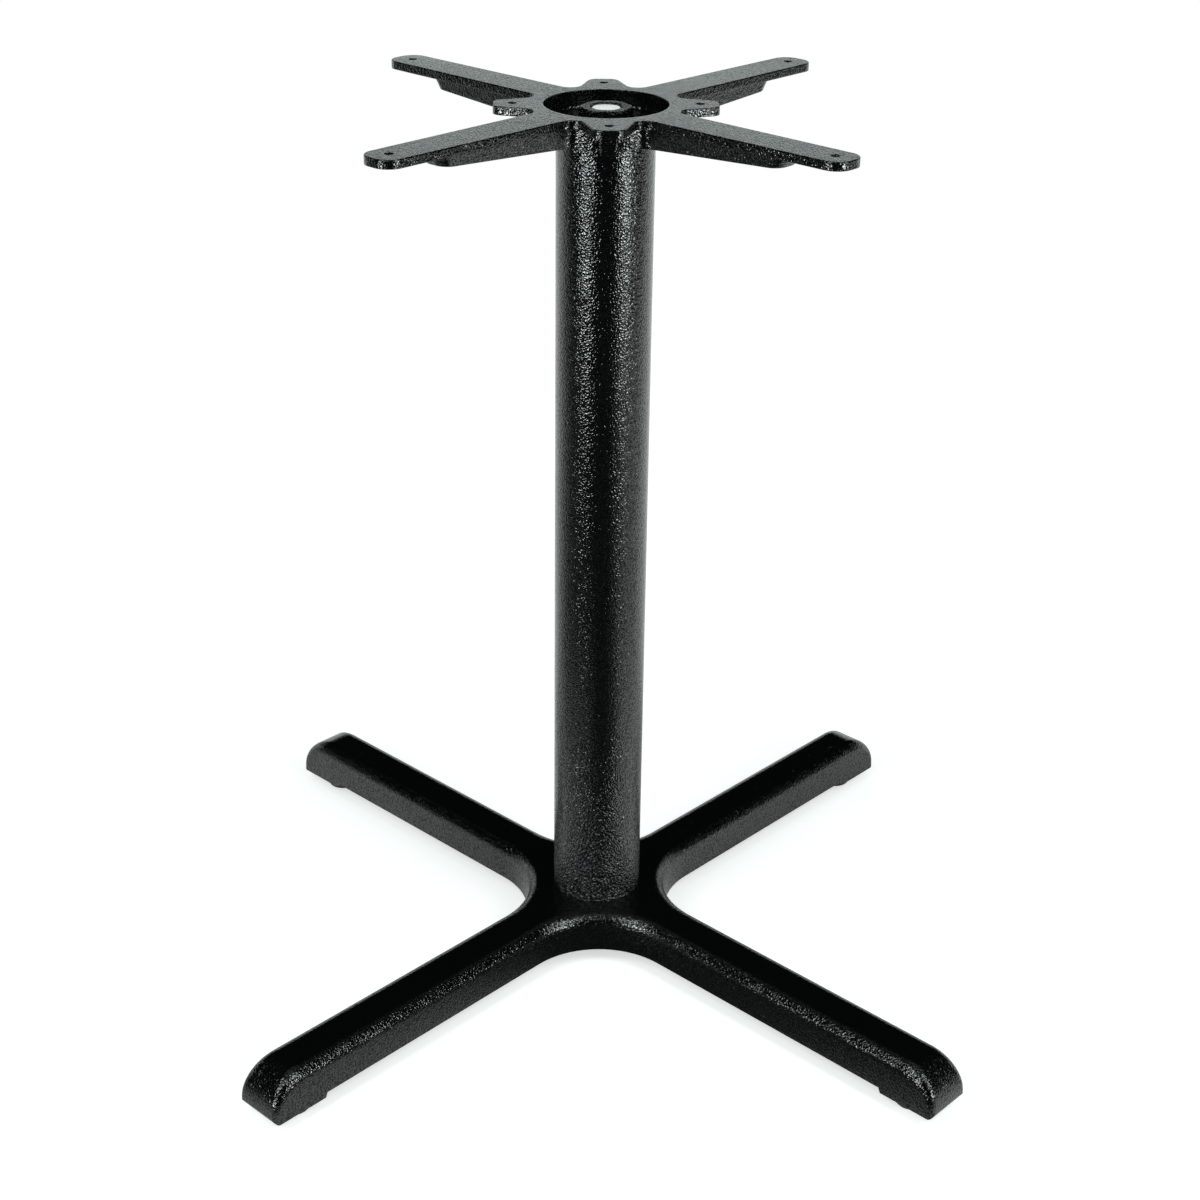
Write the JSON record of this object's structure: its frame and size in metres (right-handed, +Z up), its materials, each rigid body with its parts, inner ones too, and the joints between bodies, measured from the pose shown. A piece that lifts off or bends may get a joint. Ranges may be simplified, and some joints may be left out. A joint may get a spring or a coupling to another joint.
{
  "type": "table base",
  "caption": "Star-shaped table base: a hollow cross foot on levelling glides, a round column on a tie rod, and a star top plate with screw holes.",
  "frame": {"origin": "centre of the floor area under the glides, on the column's axis", "axes": "+Z up along the column; the legs and the long arms lie along the diagonals between X and Y; the front faces -Y"},
  "size_m": [0.5716, 0.5716, 0.74],
  "materials": {
    "cross_foot": "black textured powder coat on cast iron",
    "column_tube": "black textured powder coat on steel tube",
    "top_plate": "black textured powder coat on cast iron",
    "black_nut": "black coated steel",
    "bare_steel": "bright plated steel",
    "glide_foot": "moulded black nylon"
  },
  "bodies": {
    "frame": {"cross_foot": "cross_foot", "column_tube": "column_tube", "top_plate": "top_plate", "tie_rod": "bare_steel", "top_nut": "black_nut", "bottom_washer": "bare_steel", "bottom_spring_washer": "bare_steel", "bottom_nut": "bare_steel"},
    "front_left_glide": {"front_left_glide_stud": "bare_steel", "front_left_glide_foot": "glide_foot"},
    "front_right_glide": {"front_right_glide_stud": "bare_steel", "front_right_glide_foot": "glide_foot"},
    "back_left_glide": {"back_left_glide_stud": "bare_steel", "back_left_glide_foot": "glide_foot"},
    "back_right_glide": {"back_right_glide_stud": "bare_steel", "back_right_glide_foot": "glide_foot"}
  },
  "joints": [
    {"name": "front_left_glide_height", "type": "slide", "parent": "frame", "child": "front_left_glide", "axis": [0, 0, 1], "range_m": [-0.008, 0.0055]},
    {"name": "front_right_glide_height", "type": "slide", "parent": "frame", "child": "front_right_glide", "axis": [0, 0, 1], "range_m": [-0.008, 0.0055]},
    {"name": "back_left_glide_height", "type": "slide", "parent": "frame", "child": "back_left_glide", "axis": [0, 0, 1], "range_m": [-0.008, 0.0055]},
    {"name": "back_right_glide_height", "type": "slide", "parent": "frame", "child": "back_right_glide", "axis": [0, 0, 1], "range_m": [-0.008, 0.0055]}
  ]
}
